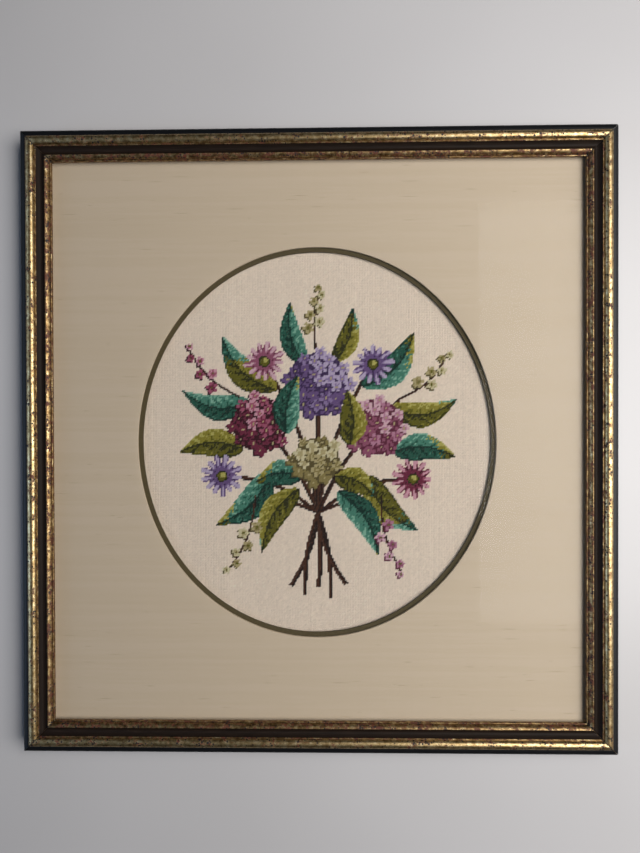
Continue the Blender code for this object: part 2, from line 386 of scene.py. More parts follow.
def new_piece(name, verts, faces, materials, face_slots=None, smooth_below=None):
    """One object from points and faces, with a material number for each face."""
    mesh = bpy.data.meshes.new(name)
    mesh.from_pydata([tuple(vert) for vert in verts], [], faces)
    for material in materials:
        mesh.materials.append(material)
    if face_slots is not None:
        fill(mesh.polygons, "material_index", face_slots, np.int32)
    if smooth_below is not None:
        mesh.shade_smooth()
        mesh.set_sharp_from_angle(angle=math.radians(smooth_below))
    mesh.update()
    return put_in_scene(mesh)


def bridge(rings, count, first=0, closed=False, flipped=False):
    """Faces between rings of count points each, whose points are numbered from first. closed joins the
    last ring to the first one; flipped turns the faces' fronts the other way."""
    faces = []
    for ring in range(rings if closed else rings - 1):
        here, ahead = first + ring * count, first + (ring + 1) % rings * count
        for step in range(count):
            after = (step + 1) % count
            face = (here + step, ahead + step, ahead + after, here + after)
            faces.append((face[0], *face[:0:-1]) if flipped else face)
    return faces


def stand_for(piece, node):
    """The piece rides with the object and replaces its CAD node, which it hides."""
    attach(piece, "root")
    if node:
        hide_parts(node)


# ---------------- the moulding

# Section of the moulding: widths run inwards from the outer side, heights up from the back
RIM_WIDTH = 3.7 * MM
RIM_SHOULDER_HEIGHT = 14.6 * MM
RIM_TOP_HEIGHT = 16.8 * MM
BEAD_START = 4.0 * MM
BEAD_END = 9.6 * MM
BEAD_FOOT_HEIGHT = 16.7 * MM
FILLET_START = 9.8 * MM
FILLET_END = 10.55 * MM
FILLET_HEIGHT = 16.9 * MM
FILLET_CROWN = 0.3 * MM
COVE_START_HEIGHT = 16.3 * MM
COVE_DEPTH = 1.5 * MM
COVE_END = 15.7 * MM
COVE_END_HEIGHT = 15.5 * MM
ARRIS_END = 16.3 * MM
ARRIS_HEIGHT = 16.1 * MM
SLOPE_CROWN = 0.3 * MM
LIP_TOP_HEIGHT = 13.9 * MM
LIP_FLAT = 0.9 * MM
LIP_CROWN = 0.5 * MM
EDGE_EASE = 0.18 * MM  # every arris is rubbed round by this much
BACK_EDGE_BREAK = 0.5 * MM

# numbers of the finishes, in the order in which make_frame lists them
BEAD_GOLD, BLACK, BARE, WORN_EDGE_GLINT, FLAT_GOLD, RIM_BLACK = range(6)

STATION_STEP = 3 * MM  # along a rail
MITRE_REACH = 26 * MM  # the end of a rail that is drawn out to its mitre
MITRE_STATIONS = 16
MITRE_WEAR_REACH = 1.4 * MM
DENT_DEPTH = 0.05 * MM
DENT_SPACING = 5 * MM
RAIL_PATTERN_SHIFT = 0.5  # metres from one rail's pattern to the next one's
MOULDING_SMOOTH_DEG = 38

# each joint: how far either rail is set back from it, and how much its outer corner is rubbed round
JOINTS = {
    "top_left": (0.03 * MM, 0.6 * MM),
    "top_right": (0.06 * MM, 2.6 * MM),
    "bottom_right": (0.13 * MM, 1.0 * MM),
    "bottom_left": (0.04 * MM, 0.6 * MM),
}


def arc(centre, radii, end_deg, steps):
    """Points on an upright elliptical arc, from its left end (180 degrees) up and over."""
    turn = np.radians(np.linspace(180, end_deg, steps + 1))
    return np.array(centre) + np.array(radii) * np.stack([np.cos(turn), np.sin(turn)], axis=-1)


def bowed(start, end, bow, steps):
    """Points from start to end, both included, arched by as much as bow in the middle."""
    start, end, bow = np.array((start, end, bow))
    share = np.linspace(0, 1, steps + 1)[:, None]
    return start + (end - start) * share + bow * np.sin(math.pi * share)


def moulding_section():
    """The moulding's section as points, with the finish of the strip that starts at each one."""
    ease = EDGE_EASE
    rim_radii = (RIM_WIDTH, RIM_TOP_HEIGHT - RIM_SHOULDER_HEIGHT)
    bead_middle = ((BEAD_START + BEAD_END) / 2, BEAD_FOOT_HEIGHT)
    bead_radii = ((BEAD_END - BEAD_START) / 2, MOULDING_HEIGHT - BEAD_FOOT_HEIGHT)
    fillet_middle = ((FILLET_START + FILLET_END) / 2, FILLET_HEIGHT - FILLET_CROWN)
    fillet_radii = ((FILLET_END - FILLET_START) / 2, FILLET_CROWN)
    cove_start, cove_end = (FILLET_END, COVE_START_HEIGHT), (COVE_END, COVE_END_HEIGHT)
    slope_start, slope_end = (ARRIS_END, ARRIS_HEIGHT), (MOULDING_WIDTH - LIP_FLAT, LIP_TOP_HEIGHT)
    run, fall = slope_end[0] - slope_start[0], slope_start[1] - slope_end[1]
    crown = SLOPE_CROWN / math.hypot(run, fall)
    lip_middle = (MOULDING_WIDTH - LIP_FLAT / 2, LIP_TOP_HEIGHT - LIP_CROWN)
    parts = (
        (RIM_BLACK, bowed((0.0, BACK_EDGE_BREAK), (0.0, RIM_SHOULDER_HEIGHT), (0.0, 0.0), 4)),
        (RIM_BLACK, arc((RIM_WIDTH, RIM_SHOULDER_HEIGHT), rim_radii, 90, 10)[1:]),
        # the worn edge between rim and bead: its pale colour is partly a painted glint
        (WORN_EDGE_GLINT, [(RIM_WIDTH + ease, RIM_TOP_HEIGHT), (BEAD_START, BEAD_FOOT_HEIGHT)]),
        (BEAD_GOLD, arc(bead_middle, bead_radii, 0, 28)[1:]),
        (FLAT_GOLD, [(FILLET_START - ease / 2, BEAD_FOOT_HEIGHT)]),
        (FLAT_GOLD, arc(fillet_middle, fillet_radii, 0, 10)),
        (BLACK, bowed(cove_start, cove_end, (0.0, -COVE_DEPTH), 14)),
        (FLAT_GOLD, [(COVE_END, ARRIS_HEIGHT - ease), (COVE_END + ease, ARRIS_HEIGHT)]),
        (FLAT_GOLD, bowed(slope_start, slope_end, (fall * crown, run * crown), 10)),
        (FLAT_GOLD, arc(lip_middle, (LIP_FLAT / 2, LIP_CROWN), 0, 8)),
        (BARE, [(MOULDING_WIDTH, RABBET_SHOULDER), (RABBET_INSET, RABBET_SHOULDER), (RABBET_INSET, 0.0)]),
        (RIM_BLACK, [(BACK_EDGE_BREAK, 0.0)]),
    )
    points = [point for _, part in parts for point in part]
    strips = [finish for finish, part in parts for _ in part]
    return np.array(points), strips


def rail_stations(length):
    """Distances along a rail from its middle, in steps that shrink towards its very ends."""
    plain = length / 2 - MITRE_REACH
    middle = np.linspace(-plain, plain, int(2 * plain / STATION_STEP) + 1)
    end = plain + MITRE_REACH * np.sin(np.linspace(0, math.pi / 2, MITRE_STATIONS + 1)[1:])
    return np.concatenate([-end[::-1], middle, end])


def ease_corner(x, y, half_length, rounding):
    """Rounds the outer corner at a rail's end, as seen from the front."""
    past = rounding - (half_length - np.abs(x))
    out = rounding - y
    reach = np.hypot(past, out)
    outside = (past > 0) & (out > 0) & (reach > rounding)
    pull = np.where(outside, rounding / np.maximum(reach, TINY), 1.0)
    new_x = np.where(outside, np.sign(x) * (half_length - rounding + past * pull), x)
    new_y = np.where(outside, rounding - out * pull, y)
    return new_x, new_y


def rail_grid(section, length, joints):
    """Points of a rail, in rows along it and columns round its section, with mitred ends and rubbed
    outer corners, and each point's distance from its mitre."""
    half = length / 2
    plain = half - MITRE_REACH
    station = rail_stations(length)[:, None]
    at_ends = zip(*[JOINTS[joint] for joint in joints])
    setback, rounding = [np.where(station < 0, *values) for values in at_ends]
    insets, heights = section.T
    end = half - insets - setback * math.sqrt(2)
    beyond = np.maximum(0, np.abs(station) - plain) / MITRE_REACH
    drawn_out = np.sign(station) * (plain + (end - plain) * beyond)
    x, y, z = np.broadcast_arrays(np.where(beyond > 0, drawn_out, station), insets, heights)
    mitre_distance = half - y - np.abs(x)
    x, y = ease_corner(x, y, half, rounding)
    return np.stack([x, y, z], axis=-1), mitre_distance


def dent_leaf(points, strips, run_start):
    """Sinks the gilded parts here and there by a hair, and lifts nothing."""
    leafed = [column for column, strip in enumerate(strips) if strip in (BEAD_GOLD, FLAT_GOLD)]
    for row in points:
        for column in leafed:
            spot = ((row[column, 0] + run_start) / DENT_SPACING, row[column, 1] / (DENT_SPACING / 2), 0.0)
            row[column, 2] += DENT_DEPTH * (noise.noise(spot) - 1)


def map_rail(mesh, section, x, run_start, mitre_distance):
    """Lays the patterns' map, in metres along the frame and round the section, and the mitres' wear."""
    around = np.concatenate([[0.0], np.cumsum(np.hypot(*np.diff(section, axis=0).T))])
    corners = corner_points(mesh)
    places = np.stack([x[corners] + run_start, around[corners % len(section)]], axis=-1)
    fill(mesh.uv_layers.new(name="along_rail").data, "uv", places)
    wear = np.exp(-np.clip(mitre_distance, 0, None) / MITRE_WEAR_REACH)
    fill(mesh.attributes.new("by_the_mitre", "FLOAT", "POINT").data, "value", wear)


def make_rail(side, length, turn_deg, middle, joints, run_start, finishes):
    """One length of moulding with its mitred ends, its dents and its finishes."""
    section, strips = moulding_section()
    points, mitre_distance = rail_grid(section, length, joints)
    dent_leaf(points, strips, run_start)
    rows, count = len(points), len(section)
    cut_end = tuple(range(count))
    other_end = tuple(range(rows * count - 1, (rows - 1) * count - 1, -1))
    faces = bridge(rows, count) + [cut_end, other_end]
    slots = strips * (rows - 1) + [BARE, BARE]
    verts = points.reshape(-1, 3)
    rail = new_piece("moulding_" + side, verts, faces, finishes, slots, MOULDING_SMOOTH_DEG)
    map_rail(rail.data, section, verts[:, 0], run_start, mitre_distance)
    rail.location = (middle[0], middle[1], 0.0)
    rail.rotation_euler = (0.0, 0.0, math.radians(turn_deg))
    stand_for(rail, "frame_rail_" + side)


def make_frame():
    """Bottom, right, top and left lengths, each turned a quarter about the frame's middle."""
    finishes = [
        burnished_bead_gold(), channel_black_lacquer(), sawn_basswood(), worn_edge_with_painted_glint(), glazed_flat_gold(),
        rim_lacquer_with_painted_shade(),
    ]
    half_w, half_h = FRAME_WIDTH / 2, FRAME_HEIGHT / 2
    sides = (
        # side, length, turn, middle of the outer side, joints at its two ends
        ("bottom", FRAME_WIDTH, 0, (0, -half_h), ("bottom_left", "bottom_right")),
        ("right", FRAME_HEIGHT, 90, (half_w, 0), ("bottom_right", "top_right")),
        ("top", FRAME_WIDTH, 180, (0, half_h), ("top_right", "top_left")),
        ("left", FRAME_HEIGHT, 270, (-half_w, 0), ("top_left", "bottom_left")),
    )
    for number, (side, length, turn, middle, joints) in enumerate(sides):
        make_rail(side, length, turn, middle, joints, RAIL_PATTERN_SHIFT * number, finishes)


# ---------------- mats, glass and card

WINDOW_STEPS = 288
EDGE_ROUND_STEPS = 6
FACE_RINGS = (0.08, 0.3, 0.6)  # rings on a mat's face, as shares of the way from window to edge
MAT_SMOOTH_DEG = 40
SILK_EDGE_RADIUS = 0.25 * MM
OLIVE_EDGE_RADIUS = 0.12 * MM
GLASS_EDGE_BREAK = 0.25 * MM
CARD_EDGE_BREAK = 0.3 * MM
CANVAS_EDGE_BREAK = 0.1 * MM


def window_ring(half_x, half_y, height):
    """Points round an oval window."""
    turn = np.linspace(0, 2 * math.pi, WINDOW_STEPS, endpoint=False)
    x = WINDOW_MIDDLE[0] + half_x * np.cos(turn)
    y = WINDOW_MIDDLE[1] + half_y * np.sin(turn)
    return np.stack([x, y, np.full_like(x, height)], axis=-1)


def board_ring(box, share, half_x, half_y, height):
    """Points between the window (share 0) and the board's straight edge (share 1)."""
    near = window_ring(half_x, half_y, height)
    middle = np.array([*WINDOW_MIDDLE, height])
    way = near - middle
    reach_x = np.where(way[:, 0] > 0, box[1][0] - middle[0], middle[0] - box[0][0])
    reach_y = np.where(way[:, 1] > 0, box[1][1] - middle[1], middle[1] - box[0][1])
    out_x = reach_x / np.maximum(np.abs(way[:, 0]), TINY)
    out_y = reach_y / np.maximum(np.abs(way[:, 1]), TINY)
    far = middle + way * np.minimum(out_x, out_y)[:, None]
    return near + (far - near) * share


def snap_corners(ring, box):
    """Moves the point nearest each corner of the board onto that corner."""
    for corner_x in (box[0][0], box[1][0]):
        for corner_y in (box[0][1], box[1][1]):
            nearest = np.argmin(np.hypot(ring[:, 0] - corner_x, ring[:, 1] - corner_y))
            ring[nearest, :2] = (corner_x, corner_y)
    return ring


def make_mat(name, node, slot, material, box, half_x, half_y, edge_radius):
    """A mat board with an oval window, whose front edge is rounded by its covering."""
    base, top = box[0][2], box[1][2]
    rounded = arc((edge_radius, top - edge_radius), (edge_radius, edge_radius), 90, EDGE_ROUND_STEPS)
    rings = [window_ring(half_x, half_y, base)]
    rings += [window_ring(half_x + out, half_y + out, height) for out, height in rounded]
    face_x, face_y = half_x + edge_radius, half_y + edge_radius
    rings += [board_ring(box, share, face_x, face_y, top) for share in FACE_RINGS]
    rings += [snap_corners(board_ring(box, 1.0, face_x, face_y, height), box) for height in (top, base)]
    faces = bridge(len(rings), WINDOW_STEPS, closed=True)
    mat = new_piece(name, np.concatenate(rings), faces, [material], smooth_below=MAT_SMOOTH_DEG)
    stand_for(mat, node)


def make_slab(name, node, material, box, break_width):
    """A flat sheet with its sharp edges broken."""
    low, high = box
    levels = (
        # height, how far its outline is drawn in
        (low[2], break_width),
        (low[2] + break_width, 0.0),
        (high[2] - break_width, 0.0),
        (high[2], break_width),
    )
    verts = []
    for height, inset in levels:
        x0, y0, x1, y1 = low[0] + inset, low[1] + inset, high[0] - inset, high[1] - inset
        verts += [(x0, y0, height), (x1, y0, height), (x1, y1, height), (x0, y1, height)]
    faces = [(3, 2, 1, 0), (12, 13, 14, 15)] + bridge(len(levels), 4, flipped=True)
    slab = new_piece(name, verts, faces, [material])
    stand_for(slab, node)
    return slab


SLUB_COUNT = 150
SLUB_LENGTHS = (2.5 * MM, 14 * MM)
SLUB_SHORTNESS = 2.2  # power that makes most of them short
SLUB_WIDTH = 0.42 * MM
SLUB_HEIGHT = 0.10 * MM
SLUB_MARGIN = 1 * MM  # kept clear beside the moulding
SLUB_WINDOW_SHARE = 1.02  # kept clear round the window
SLUB_GIRTHS = ((-0.5, 0.0), (-0.3, 0.7), (0.0, 1.0), (0.3, 0.6), (0.5, 0.0))  # along, thickness
SLUB_SECTION = ((-0.5, -0.3), (0.0, 1.0), (0.5, -0.3))  # across, up
SLUB_LEAST_RISE = 0.05
SLUB_SMOOTH_DEG = 80


def slub_points(x, y, length, width, tilt):
    """A low ridge of thread from side to side, thickest in the middle."""
    points = []
    for along, girth in SLUB_GIRTHS:
        height = SLUB_HEIGHT * max(girth, SLUB_LEAST_RISE)
        for across, up in SLUB_SECTION:
            off = along * length * tilt + across * width * girth
            points.append((x + along * length, y + off, SILK_BOX[1][2] + height * up))
    return points


def make_slubs():
    """Thick places in the silk's weft, lying from side to side on the mat's face."""
    dice = np.random.default_rng(31)
    low, high = SILK_BOX
    hidden = MOULDING_WIDTH - RABBET_INSET + SLUB_MARGIN
    verts, faces = [], []
    made = 0
    while made < SLUB_COUNT:
        x = dice.uniform(low[0] + hidden, high[0] - hidden)
        y = dice.uniform(low[1] + hidden, high[1] - hidden)
        length = SLUB_LENGTHS[0] + (SLUB_LENGTHS[1] - SLUB_LENGTHS[0]) * dice.random() ** SLUB_SHORTNESS
        nearest_x = max(0.0, abs(x - WINDOW_MIDDLE[0]) - length / 2)
        share = math.hypot(nearest_x / SILK_WINDOW_X, (y - WINDOW_MIDDLE[1]) / SILK_WINDOW_Y)
        if share < SLUB_WINDOW_SHARE:
            continue
        made += 1
        width = SLUB_WIDTH * dice.uniform(0.6, 1.2)
        first = len(verts)
        verts += slub_points(x, y, length, width, dice.normal(0, 0.01))
        last = len(verts) - 3
        faces += bridge(len(SLUB_GIRTHS), len(SLUB_SECTION), first, flipped=True)
        faces += [(first + 2, first + 1, first), (last, last + 1, last + 2)]
    slubs = new_piece("silk_slubs", verts, faces, [silk_slub_thread()], smooth_below=SLUB_SMOOTH_DEG)
    stand_for(slubs, None)


# ---------------- the stitched posy

STITCH_PITCH = 25.4 * MM / 24  # 24 stitches to the inch
STITCH_LENGTH = 1.72 * STITCH_PITCH
STITCH_WIDTH = 0.98 * STITCH_PITCH
STITCH_RISE = 0.25 * MM
STITCH_SINK = 0.04 * MM  # the yarn's edges lie this deep in the canvas
STITCH_SLANT_DEG = 45
STITCH_MARGIN = 4 * MM  # stitched this far in under the mat
CANVAS_FACE = CANVAS_BOX[0][2] + 1.05 * MM
MAP_CELL_SHARE = 0.62  # each stitch keeps to this share of its own cell of the flat map

YARNS = {
    "ground": "f9e8d5",
    "wine_deep": "3c0a1c", "wine": "782843", "wine_mid": "ac5a75", "wine_pale": "dba4b2",
    "mauve_deep": "6a2a42", "mauve": "9c5873", "mauve_mid": "c288a0", "mauve_pale": "e2bcc5",
    "violet_deep": "452f5a", "violet": "725789", "violet_mid": "9882ad", "violet_pale": "c5b5d1",
    "straw_deep": "655833", "straw": "968753", "straw_mid": "bdaf80", "straw_pale": "ddd3ac",
    "teal_deep": "11342b", "teal": "285d4d", "teal_mid": "4f8b77", "teal_pale": "8bbda6",
    "olive_deep": "34330d", "olive": "6a6517", "olive_mid": "968d33", "olive_pale": "c0b865",
    "bark_deep": "2a1410", "bark": "4f2c1c",
}
YARN_NUMBER = {name: number for number, name in enumerate(YARNS)}

# the chart's places in millimetres from the middle of the window
CHART_HALF = (118, 129)
COLUMNS = int(2 * CHART_HALF[0] * MM / STITCH_PITCH) | 1
ROWS = int(2 * CHART_HALF[1] * MM / STITCH_PITCH) | 1
PITCH_MM = STITCH_PITCH / MM
CHART_Y, CHART_X = np.meshgrid(
    (np.arange(ROWS) - ROWS // 2) * PITCH_MM, (np.arange(COLUMNS) - COLUMNS // 2) * PITCH_MM, indexing="ij"
)
CHART = np.zeros((ROWS, COLUMNS), dtype=np.int32)
STEM_FOOT = (1, -46)
LIGHT_WAY = (0.55, 0.83)  # florets are lighter towards the top right
GOLDEN_TURN = math.pi * (3 - math.sqrt(5))
FLORET_RADIUS = 4.3
FLORET_PETALS = 5
FLORET_SHADOW = 0.9  # down and to the left
VEIN_SPACING = 6.6
VEIN_SLANT = 1.15
VEIN_STRENGTH = 0.42  # in steps from one tone to the next
MIDRIB_HALF = 0.62
LEAF_RIM = 1.3  # dark on the half away from the light
BLEND = 0.30  # how far single stitches stray between two tones of a leaf
UNEVEN = np.random.default_rng(7).normal(0, 1, CHART.shape)

# a floret at least this lit, by the tones of its inner and outer petals from 0, deep, to 3, pale
FLORET_LIGHTS = ((0.40, 2, 3), (-0.05, 1, 2), (-0.55, 0, 1), (-math.inf, 1, 1))

FRONT_LEAVES = 12  # the leaves from this row on lie in front of the heads, all but the last head
LEAVES = (
    # base x, base y, tip x, tip y, half width, bend, yarn family, share from which the tip changes
    (-8, 50, -17, 92, 7.5, 0.10, "teal", 1.1),
    (12, 52, 24, 88, 7.0, -0.10, "olive", 0.9),
    (-26, 34, -62, 70, 9.5, 0.14, "olive", 0.72),
    (30, 36, 64, 72, 9.5, -0.14, "teal", 0.85),
    (-44, 26, -88, 34, 8.5, 0.16, "teal", 1.2),
    (48, 22, 92, 28, 8.5, -0.16, "olive", 1.0),
    (-48, -4, -90, -6, 9.5, -0.12, "olive", 1.2),
    (50, -6, 91, -10, 9.0, 0.12, "teal", 0.8),
    (-30, -20, -66, -54, 10.0, 0.12, "teal", 0.9),
    (32, -22, 66, -58, 10.0, -0.12, "olive", 0.8),
    (-12, -30, -36, -72, 9.0, -0.12, "olive", 1.1),
    (14, -32, 40, -74, 9.0, 0.12, "teal", 1.2),
    (-20, 6, -12, 44, 9.0, 0.08, "teal", 1.0),
    (22, -2, 20, 34, 9.0, -0.08, "olive", 1.2),
    (-10, -22, -40, -26, 8.5, -0.14, "teal", 0.8),
    (12, -22, 38, -36, 8.5, 0.14, "olive", 1.0),
)

ROUND_HEADS = (
    # x, y, radius, yarn family
    (1, 38, 23, "violet"),
    (-37, 12, 20.5, "wine"),
    (39, 10, 20.5, "mauve"),
    (0, -12, 17.5, "straw"),
)

DAISIES = (
    # x, y, radius, petals, yarn family
    (-34, 53, 14, 13, "mauve"),
    (37, 51, 14, 13, "violet"),
    (-62, -22, 14, 13, "violet"),
    (63, -24, 14, 13, "wine"),
)

SPRAYS = (
    # foot x, foot y, tip x, tip y, bend, blossoms, yarn family
    (0, 58, 3, 101, 0.06, 7, "straw"),
    (-50, 30, -84, 62, 0.10, 6, "wine"),
    (54, 28, 86, 58, -0.10, 6, "straw"),
    (-40, -34, -58, -84, 0.08, 6, "straw"),
    (42, -34, 56, -86, -0.08, 6, "mauve"),
)

STEM_ENDS = (
    # x, y at the cut end, bend
    (-17, -94, 0.06),
    (-8, -100, -0.05),
    (1, -95, 0.03),
    (9, -102, 0.05),
    (19, -93, -0.07),
)


def stitch(where, yarn):
    """Works the chart's places in one yarn."""
    CHART[where] = YARN_NUMBER[yarn]


def tones(family):
    """A yarn family from deep to pale."""
    return [family + "_deep", family, family + "_mid", family + "_pale"]


def away_from(x, y):
    """Every place on the chart as seen from one point: across, up and distance in mm."""
    across, up = CHART_X - x, CHART_Y - y
    return across, up, np.hypot(across, up)


def curve_frame(start, end, bend):
    """Place along a bowed line from 0 to 1, signed distance from it in mm, and its length."""
    run = (end[0] - start[0], end[1] - start[1])
    length = math.hypot(*run)
    ux, uy = run[0] / length, run[1] / length
    across, up, _ = away_from(*start)
    along = (across * ux + up * uy) / length
    bow = bend * length * np.sin(math.pi * np.clip(along, 0, 1))
    return along, -across * uy + up * ux - bow, length


def work_stem(start, end, bend, half_width):
    """A woody stem, dark on its left side."""
    along, off, _ = curve_frame(start, end, bend)
    on_stem = (along >= 0) & (along <= 1)
    stitch(on_stem & (np.abs(off) < half_width), "bark")
    stitch(on_stem & (off > half_width * 0.1) & (off < half_width), "bark_deep")


def work_leaf(base_x, base_y, tip_x, tip_y, half_width, bend, family, tip_from):
    """A pointed leaf worked in four blended tones: one half lit, veins slanting to a dark midrib, and
    on some leaves the other green towards the tip."""
    along, off, length = curve_frame((base_x, base_y), (tip_x, tip_y), bend)
    share = np.clip(along, 0, 1)
    width = half_width * np.sin(math.pi * share ** 0.72) ** 0.85
    edge = width - np.abs(off)
    blade = (along > 0) & (along < 1) & (edge > 0)
    across = np.clip(np.abs(off) / np.maximum(width, 0.1), 0, 1)
    lies_flat = abs(tip_x - base_x) > abs(tip_y - base_y)
    lit = off * (tip_x - base_x) > 0 if lies_flat else off < 0
    # the tone runs from 0, deep, to 3, pale
    tone = np.where(lit, 1.55 + 1.05 * across, 0.55 + 1.0 * across ** 2)
    veins = np.cos(2 * math.pi * (share * length - np.abs(off) * VEIN_SLANT) / VEIN_SPACING)
    tone += VEIN_STRENGTH * veins * np.sin(math.pi * np.clip(across * 0.9 + 0.1, 0, 1))
    tone += 0.7 * (share - 0.5) + BLEND * UNEVEN
    tone = np.where((edge < LEAF_RIM) & ~lit, tone - 0.9, tone)
    tone = np.where(np.abs(off) < MIDRIB_HALF, 0, tone)
    step = np.clip(np.rint(tone), 0, 3).astype(int)
    turned = share + 0.25 * across * lit + 0.06 * UNEVEN > tip_from
    other = {"teal": "olive", "olive": "teal"}[family]
    for part, shades in ((blade & ~turned, tones(family)), (blade & turned, tones(other))):
        for number, shade in enumerate(shades):
            stitch(part & (step == number), shade)


def work_floret(x, y, radius, turn, shades, eye):
    """A small blossom: a shadow, lobed petals in two shades and an eye."""
    shadow, inner, outer = shades
    across, up, away = away_from(x, y)
    lobes = np.abs(np.cos(FLORET_PETALS / 2 * (np.arctan2(up, across) - turn)))
    rim = radius * (0.50 + 0.50 * lobes ** 0.7)
    stitch(np.hypot(across + FLORET_SHADOW, up + FLORET_SHADOW) < rim, shadow)
    stitch(away < rim, outer)
    stitch((away < rim) & (lobes < 0.42), inner)
    stitch(away < radius * 0.42, inner)
    stitch(away < 0.75, eye)


def work_round_head(x, y, radius, family, dice):
    """A domed head of florets set on a spiral, lighter towards the light."""
    shades = tones(family)
    stitch(away_from(x, y)[2] < radius - 2.5, shades[0])
    count = int(1.12 * (radius / FLORET_RADIUS) ** 2)
    for number in reversed(range(count)):
        reach = (radius - 1.5) * math.sqrt((number + 0.5) / count)
        turn = number * GOLDEN_TURN + x
        out_x, out_y = reach * math.cos(turn), reach * math.sin(turn)
        lit = (out_x * LIGHT_WAY[0] + out_y * LIGHT_WAY[1]) / radius + dice.normal(0, 0.42)
        inner, outer = next((inner, outer) for least, inner, outer in FLORET_LIGHTS if lit > least)
        size = FLORET_RADIUS * dice.uniform(0.82, 1.12)
        petals = (shades[0], shades[inner], shades[outer])
        work_floret(x + out_x, y + out_y, size, dice.uniform(0, 6), petals, "straw_mid")


def work_daisy(x, y, radius, petals, family, dice):
    """An open flower of long petals round a buttoned eye."""
    deep, dark, middle, pale = tones(family)
    across, up, away = away_from(x, y)
    turn = (np.arctan2(up, across) / (2 * math.pi) * petals + dice.random()) % petals
    number = np.floor(turn).astype(int)
    from_middle = np.abs(turn - number - 0.5) * 2
    lengths = radius * dice.uniform(0.84, 1.04, petals)
    reach = lengths[np.clip(number, 0, petals - 1)]
    petal = (away < reach * np.sqrt(np.clip(1 - from_middle ** 2.6, 0, 1))) & (away > 1)
    stitch(away < radius * 0.62, deep)
    stitch(petal, middle)
    stitch(petal & (from_middle > 0.55), dark)
    stitch(petal & (from_middle < 0.45) & (away > radius * 0.5), pale)
    stitch(petal & (away < radius * 0.45), dark)
    stitch(petal & (number % 3 == 1) & (from_middle > 0.3), dark)
    stitch(away < radius * 0.27, "olive_deep")
    stitch(away < radius * 0.20, "olive")
    stitch(np.hypot(across - 0.8, up - 0.8) < radius * 0.12, "olive_pale")


def work_spray(foot_x, foot_y, tip_x, tip_y, bend, blossoms, family, dice):
    """A thin stalk with small blossoms to either side, smaller towards its tip."""
    deep, dark, middle, pale = tones(family)
    work_stem((foot_x, foot_y), (tip_x, tip_y), bend, 0.75)
    run = (tip_x - foot_x, tip_y - foot_y)
    length = math.hypot(*run)
    for number in range(blossoms):
        share = 0.38 + 0.62 * number / (blossoms - 1)
        side = (-1) ** number * (5.2 - 3.8 * share)
        off = side + bend * length * math.sin(math.pi * share)
        x = foot_x + run[0] * share - run[1] / length * off
        y = foot_y + run[1] * share + run[0] / length * off
        shades = (deep, middle, pale) if number % 2 else (deep, dark, middle)
        work_floret(x, y, 4.9 - 2.3 * share, dice.uniform(0, 6), shades, "olive")


def work_posy():
    """Works the whole chart, from the back of the posy to the front."""
    dice = np.random.default_rng(24)
    for x, y, bend in STEM_ENDS:
        work_stem(STEM_FOOT, (x, y), bend, 1.5)
    for x, y, *_ in ROUND_HEADS + DAISIES:
        work_stem(STEM_FOOT, (x, y), 0.0016 * x, 1.25)
    for x, y, *_ in SPRAYS:
        work_stem(STEM_FOOT, (x, y), 0.001 * x, 1.1)
    for row in LEAVES[:FRONT_LEAVES]:
        work_leaf(*row)
    for row in SPRAYS:
        work_spray(*row, dice)
    for row in DAISIES:
        work_daisy(*row, dice)
    for row in ROUND_HEADS[:-1]:
        work_round_head(*row, dice)
    for row in LEAVES[FRONT_LEAVES:]:
        work_leaf(*row)
    work_round_head(*ROUND_HEADS[-1], dice)


def stitched_places():
    """Rows and columns of the stitches: the window and a little beyond."""
    half_x = (OLIVE_WINDOW_X + STITCH_MARGIN) / MM
    half_y = (OLIVE_WINDOW_Y + STITCH_MARGIN) / MM
    return np.nonzero((CHART_X / half_x) ** 2 + (CHART_Y / half_y) ** 2 < 1)


# one stitch: place along, across and up, as shares of its length, width and rise
STITCH_POINTS = np.array([
    (-0.50, 0.00, 0.35),
    (-0.34, 0.50, 0.00), (-0.30, 0.00, 0.97), (-0.34, -0.50, 0.00),
    (0.34, 0.50, 0.00), (0.30, 0.00, 1.00), (0.34, -0.50, 0.00),
    (0.50, 0.00, 0.35),
])
STITCH_FACES = (
    (0, 2, 1), (0, 3, 2), (0, 1, 3), (7, 4, 5), (7, 5, 6), (7, 6, 4),
    (1, 2, 5, 4), (2, 3, 6, 5), (3, 1, 4, 6),
)


def stitch_points(x, y, lean, dice):
    """Points of slanted stitches, each a little longer, wider, higher or more upright than the next."""
    count = len(x)
    slant = np.radians(STITCH_SLANT_DEG + dice.normal(0, 3, count) + lean * 1.5)
    length = STITCH_LENGTH * dice.uniform(0.95, 1.05, count)
    width = STITCH_WIDTH * dice.uniform(0.93, 1.07, count)
    rise = STITCH_RISE * (1 + 0.06 * lean + dice.normal(0, 0.05, count)).clip(0.8, 1.2)
    along, across, up = STITCH_POINTS.T
    far, side = np.outer(length, along), np.outer(width, across)
    cos, sin = np.cos(slant)[:, None], np.sin(slant)[:, None]
    points = np.empty((count, len(STITCH_POINTS), 3))
    points[..., 0] = x[:, None] + far * cos - side * sin
    points[..., 1] = y[:, None] + far * sin + side * cos
    points[..., 2] = CANVAS_FACE - STITCH_SINK + np.outer(rise, up)
    return points


